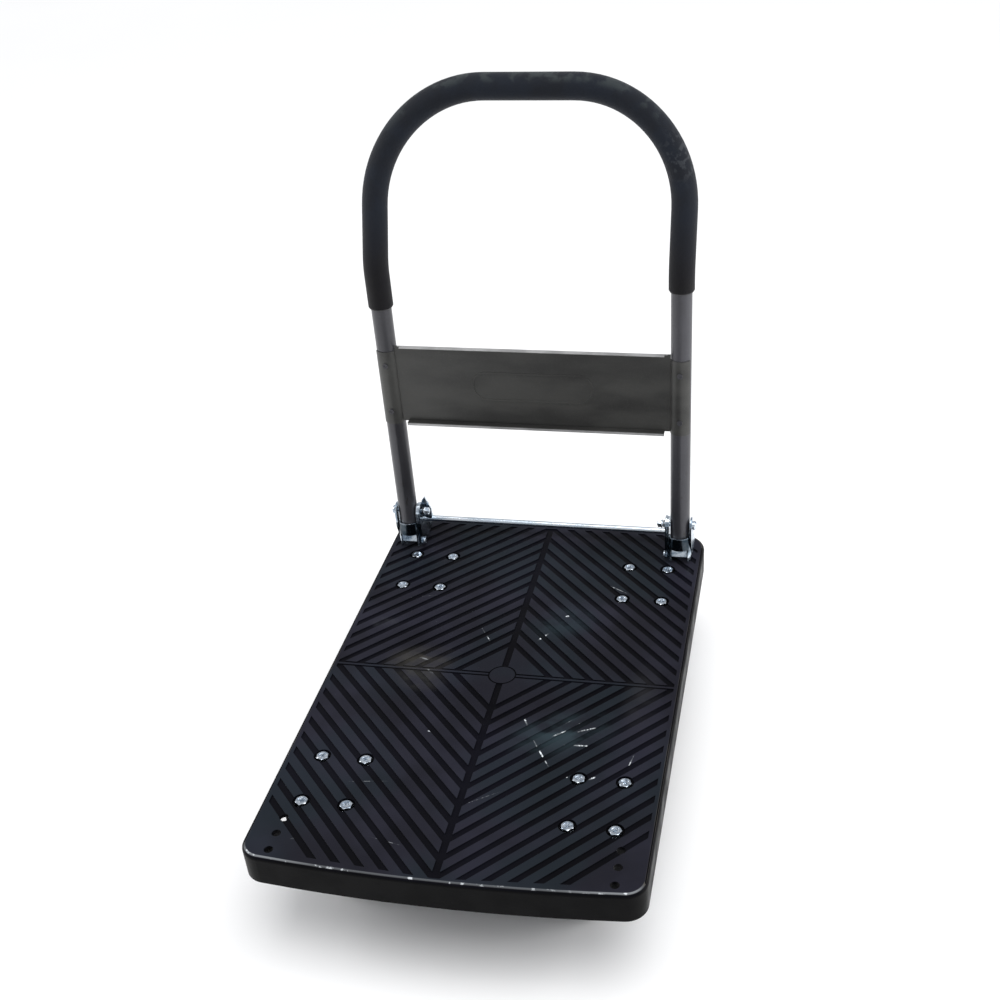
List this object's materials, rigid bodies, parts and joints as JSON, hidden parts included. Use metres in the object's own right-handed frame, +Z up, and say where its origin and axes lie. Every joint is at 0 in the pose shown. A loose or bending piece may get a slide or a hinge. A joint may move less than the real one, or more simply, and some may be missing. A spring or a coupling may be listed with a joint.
{
  "type": "folding platform cart",
  "caption": "Folding platform cart: ribbed black deck on casters, dark tube handle with a foam grip and a cross panel, folding forward on zinc brackets.",
  "frame": {"origin": "centre of the bounding box's bottom face, on the floor under the wheels", "axes": "+X to the right seen from the front end, +Y back towards the handle, +Z up"},
  "size_m": [0.475, 0.7691, 0.8265],
  "materials": {
    "deck_plastic": "satin moulded",
    "tube_paint": "dark grey powder coat",
    "panel_paint": "dark grey satin paint",
    "grip_foam": "closed-cell foam, matt",
    "plug_plastic": "black moulded",
    "zinc_sheet": "bright blue-white zinc plate",
    "zinc_hardware": "bright zinc plate",
    "latch_steel": "zinc plate",
    "fork_steel": "zinc plate",
    "spring_steel": "bright spring wire",
    "sleeve_steel": "plain turned steel",
    "core_plastic": "grey moulded",
    "tyre_rubber": "solid black rubber"
  },
  "bodies": {
    "deck": {"deck": "deck_plastic", "hinge_bracket_left": "zinc_sheet", "bracket_screws_left": "zinc_hardware", "pivot_bolt_left": "zinc_hardware", "pivot_nuts_left": "zinc_hardware", "latch_spring_left": "spring_steel", "latch_pin_left": "zinc_hardware", "kingpin_left": "zinc_hardware", "hinge_bracket_right": "zinc_sheet", "bracket_screws_right": "zinc_hardware", "pivot_bolt_right": "zinc_hardware", "pivot_nuts_right": "zinc_hardware", "latch_spring_right": "spring_steel", "latch_pin_right": "zinc_hardware", "kingpin_right": "zinc_hardware", "caster_bolts_front_left": "zinc_hardware", "caster_nuts_front_left": "zinc_hardware", "caster_plate_front_left": "fork_steel", "caster_bolts_front_right": "zinc_hardware", "caster_nuts_front_right": "zinc_hardware", "caster_plate_front_right": "fork_steel", "caster_bolts_rear_left": "zinc_hardware", "caster_nuts_rear_left": "zinc_hardware", "caster_plate_rear_left": "fork_steel", "caster_bolts_rear_right": "zinc_hardware", "caster_nuts_rear_right": "zinc_hardware", "caster_plate_rear_right": "fork_steel", "caster_fork_front_left": "fork_steel", "wheel_axle_front_left": "zinc_hardware", "wheel_sleeve_front_left": "sleeve_steel", "caster_fork_front_right": "fork_steel", "wheel_axle_front_right": "zinc_hardware", "wheel_sleeve_front_right": "sleeve_steel"},
    "handle": {"handle_tube": "tube_paint", "grip": "grip_foam", "tube_plugs": "plug_plastic", "panel": "panel_paint", "panel_screws": "zinc_hardware"},
    "foot_latch": {"latch_rod": "latch_steel", "latch_arm_left": "latch_steel", "latch_arm_right": "latch_steel"},
    "swivel_left": {"caster_fork_rear_left": "fork_steel", "wheel_axle_rear_left": "zinc_hardware", "wheel_sleeve_rear_left": "sleeve_steel"},
    "swivel_right": {"caster_fork_rear_right": "fork_steel", "wheel_axle_rear_right": "zinc_hardware", "wheel_sleeve_rear_right": "sleeve_steel"},
    "wheel_front_left": {"wheel_core_front_left": "core_plastic", "wheel_tyre_front_left": "tyre_rubber"},
    "wheel_front_right": {"wheel_core_front_right": "core_plastic", "wheel_tyre_front_right": "tyre_rubber"},
    "wheel_rear_left": {"wheel_core_rear_left": "core_plastic", "wheel_tyre_rear_left": "tyre_rubber"},
    "wheel_rear_right": {"wheel_core_rear_right": "core_plastic", "wheel_tyre_rear_right": "tyre_rubber"}
  },
  "joints": [
    {"name": "handle_fold", "type": "hinge", "parent": "deck", "child": "handle", "pos_m": [0, 0.28441, 0.22], "axis": [1, 0, 0], "range_deg": [0, 93]},
    {"name": "latch_press", "type": "hinge", "parent": "deck", "child": "foot_latch", "pos_m": [0, 0.28041, 0.17], "axis": [-1, 0, 0], "range_deg": [0, 8], "stiffness_Nm_per_rad": 1.5, "springref_deg": -20.05},
    {"name": "swivel_left", "type": "hinge", "parent": "deck", "child": "swivel_left", "pos_m": [-0.1618, 0.21541, 0.1], "axis": [0, 0, 1], "continuous": true},
    {"name": "swivel_right", "type": "hinge", "parent": "deck", "child": "swivel_right", "pos_m": [0.1618, 0.21541, 0.1], "axis": [0, 0, 1], "continuous": true},
    {"name": "spin_front_left", "type": "hinge", "parent": "deck", "child": "wheel_front_left", "pos_m": [-0.1618, -0.23809, 0.05], "axis": [1, 0, 0], "continuous": true},
    {"name": "spin_front_right", "type": "hinge", "parent": "deck", "child": "wheel_front_right", "pos_m": [0.1618, -0.23809, 0.05], "axis": [1, 0, 0], "continuous": true},
    {"name": "spin_rear_left", "type": "hinge", "parent": "swivel_left", "child": "wheel_rear_left", "pos_m": [-0.1618, 0.25141, 0.05], "axis": [1, 0, 0], "continuous": true},
    {"name": "spin_rear_right", "type": "hinge", "parent": "swivel_right", "child": "wheel_rear_right", "pos_m": [0.1618, 0.25141, 0.05], "axis": [1, 0, 0], "continuous": true}
  ]
}
